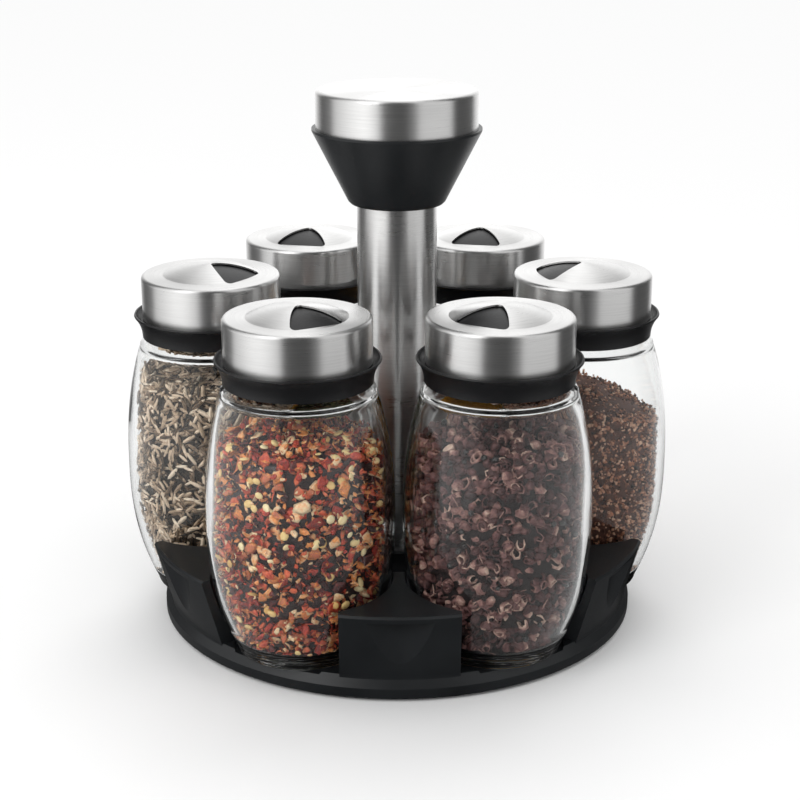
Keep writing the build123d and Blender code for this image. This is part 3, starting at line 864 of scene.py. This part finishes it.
def paint_frame():
    """Put the procedural materials on the frame's own nodes."""
    tray_black = moulded_black("tray_black", (0.0115, 0.0128, 0.0142), 0.34, 2600, 0.22)
    lid_black = moulded_black("lid_black", (0.007, 0.007, 0.008), 0.4, 1500, 0.9)
    steel = brushed_steel("column_steel")
    zinc = plain_metal("plated_steel", (0.72, 0.72, 0.73), 0.22)
    rubber = soft_polymer("pad_rubber", (0.03, 0.03, 0.03), 0.75, 1500)
    silicone = soft_polymer("seal_silicone", (0.72, 0.71, 0.68), 0.5, 900)
    nylon = soft_polymer("cage_nylon", (0.62, 0.61, 0.57), 0.5, 700)
    for node in ("foot_disc", "tray", "column_boss", "knob_cone"):
        paint(node, tray_black)
    for node in ("column_tube", "knob_cap"):
        paint(node, steel)
    for node in ("bearing_balls", "tie_rod", "rod_nut"):
        paint(node, zinc)
    for node in ("lower_washer", "upper_washer", "pivot_bush"):
        paint(node, zinc)
    paint("foot_pads", rubber)
    paint("ball_cage", nylon)
    for number in JARS:
        place = jar_place(number)
        paint(f"dial_cap_{number}", brushed_steel(f"dial_steel_{number}", tuple(place)))
        paint(f"lid_insert_{number}", lid_black)
        paint(f"dial_ring_{number}", lid_black)
        paint(f"lid_seal_{number}", silicone)


# ------------------------------------------------------------------ studio

CAMERA_DISTANCE = 0.5716
CAMERA_HEIGHT = 0.2608
CAMERA_PITCH = radians(18.21)
CAMERA_BEARING = radians(-0.62)
CAMERA_YAW = radians(0.1)
CAMERA_LENS = 78.74
SENSOR_WIDTH = 36
FLOOR_HALF = 12.0
WORLD_BRIGHTNESS = 0.87
KEY_PLACE = (-0.7, -0.75, 0.8)
KEY_TARGET = (0, 0, 0.08)
KEY_SIZE = 0.45
KEY_POWER = 3.6
SKY_PLACE = (0.1, 0.6, 1.0)
SKY_SPREAD = radians(35)
SKY_STRENGTH = 0.6


def look_at(thing, target):
    """Turn a light so that it faces a point."""
    direction = Vector(target) - thing.location
    thing.rotation_euler = direction.to_track_quat("-Z", "Y").to_euler()


def add_light(data, place, target):
    """Put a light somewhere, facing a point."""
    light = bpy.data.objects.new(data.name, data)
    light.location = place
    look_at(light, target)
    bpy.context.scene.collection.objects.link(light)


def add_floor():
    """Lay a plain white floor."""
    corners = [(-1, -1, 0), (1, -1, 0), (1, 1, 0), (-1, 1, 0)]
    floor = add_mesh("floor", np.array(corners) * FLOOR_HALF, [(0, 1, 2, 3)])
    shader = Shader("floor_white")
    shader.set(Base_Color=(0.93, 0.93, 0.93, 1), Roughness=0.9, Specular_IOR_Level=0.0)
    floor.data.materials.append(shader.material)
    floor.visible_glossy = False


# Bearings from the camera's side towards its right, in degrees, and the panels' brightness there
PANELS = (
    (-180, 1.5),
    (-150, 0.9),
    (-140, 0.5),
    (-128, 0.12),
    (-104, 0.25),
    (-96, 0.85),
    (-62, 1.42),
    (-50, 1.4),
    (-26, 0.95),
    (-19, 0.12),
    (12, 0.1),
    (25, 0.34),
    (31, 0.85),
    (78, 0.85),
    (86, 0.09),
    (126, 0.13),
    (140, 0.9),
    (180, 1.5),
)
NEAR_FLOOR = (0.17, 0.33, 0.15, 1.0)  # reach from the axis, and the share of brightness left there
PANEL_RADIUS = 0.45
PANEL_HEIGHT = 1.4
PANEL_SEGMENTS = 180
OVERHEAD_BRIGHTNESS = 1.1


def panel_material():
    """Return a light whose brightness changes with the bearing and fades under the object."""
    shader = Shader("panel_light")
    parts = shader.add("ShaderNodeSeparateXYZ")
    shader.join(shader.place(), parts.inputs[0])
    ahead = shader.math("MULTIPLY", parts.outputs["Y"], -1.0)
    bearing = shader.math("ARCTAN2", parts.outputs["X"], ahead)
    share = shader.spread(bearing, -pi, pi, 0, 1)
    colour = shader.ramp(share, [((angle + 180) / 360, (level,) * 3) for angle, level in PANELS])
    squares = (shader.math("POWER", parts.outputs[axis], 2.0) for axis in ("X", "Y"))
    reach = shader.math("SQRT", shader.math("ADD", *squares))
    glow = shader.glow()
    shader.join(colour, glow.inputs["Color"])
    shader.join(shader.spread(reach, *NEAR_FLOOR), glow.inputs["Strength"])
    return shader.material


def add_studio_panels():
    """Stand a drum of light and dark panels round the object and a light one over it.

    They are seen only in its reflections.
    """
    sides = np.arange(PANEL_SEGMENTS)
    angles = sides * tau / PANEL_SEGMENTS
    rim = np.stack([np.cos(angles), np.sin(angles), np.zeros(PANEL_SEGMENTS)], 1) * PANEL_RADIUS
    low = rim + [0, 0, -0.001]
    high = rim + [0, 0, PANEL_HEIGHT]
    after = (sides + 1) % PANEL_SEGMENTS
    faces = list(zip(sides, after, PANEL_SEGMENTS + after, PANEL_SEGMENTS + sides))
    faces.append(sides)
    drum = add_mesh("studio_panels", np.concatenate([low, high]), faces, smooth=False)
    drum.data.materials.append(panel_material())
    cover = add_mesh("overhead_panel", high, [sides], smooth=False)
    shader = Shader("overhead_light")
    shader.glow(OVERHEAD_BRIGHTNESS)
    cover.data.materials.append(shader.material)
    for panel in (drum, cover):
        panel.visible_camera = False
        panel.visible_diffuse = False
        panel.visible_transmission = False
        panel.visible_shadow = False


def add_world_and_lights():
    """Set a white world, a soft key light from the front left and a broad sky from behind."""
    world = bpy.data.worlds.new("studio")
    world.use_nodes = True
    background = world.node_tree.nodes["Background"]
    background.inputs["Color"].default_value = (1, 1, 1, 1)
    background.inputs["Strength"].default_value = WORLD_BRIGHTNESS
    bpy.context.scene.world = world
    key = bpy.data.lights.new("key_softbox", "AREA")
    key.size = KEY_SIZE
    key.energy = KEY_POWER
    add_light(key, KEY_PLACE, KEY_TARGET)
    sky = bpy.data.lights.new("sky_panel", "SUN")
    sky.energy = SKY_STRENGTH
    sky.angle = SKY_SPREAD
    add_light(sky, SKY_PLACE, (0, 0, 0))


def add_camera():
    """Stand the camera where the photograph was taken from."""
    scene = bpy.context.scene
    data = bpy.data.cameras.new("camera")
    data.lens = CAMERA_LENS
    data.sensor_width = SENSOR_WIDTH
    camera = bpy.data.objects.new("camera", data)
    camera.location = (
        CAMERA_DISTANCE * sin(CAMERA_BEARING),
        -CAMERA_DISTANCE * cos(CAMERA_BEARING),
        CAMERA_HEIGHT,
    )
    camera.rotation_euler = (pi / 2 - CAMERA_PITCH, 0, CAMERA_BEARING - CAMERA_YAW)
    scene.collection.objects.link(camera)
    scene.camera = camera


# ------------------------------------------------------------------ build

paint_frame()
glass = clear_glass("jar_glass")
for jar_number in JARS:
    make_glass(jar_number, glass)
make_ground_pepper(1)
make_curry(2)
make_herbs(3)
make_cumin(4)
make_chilli(5)
make_husks(6)

add_world_and_lights()
add_floor()
add_studio_panels()
add_camera()
bpy.context.scene.view_settings.view_transform = "Standard"
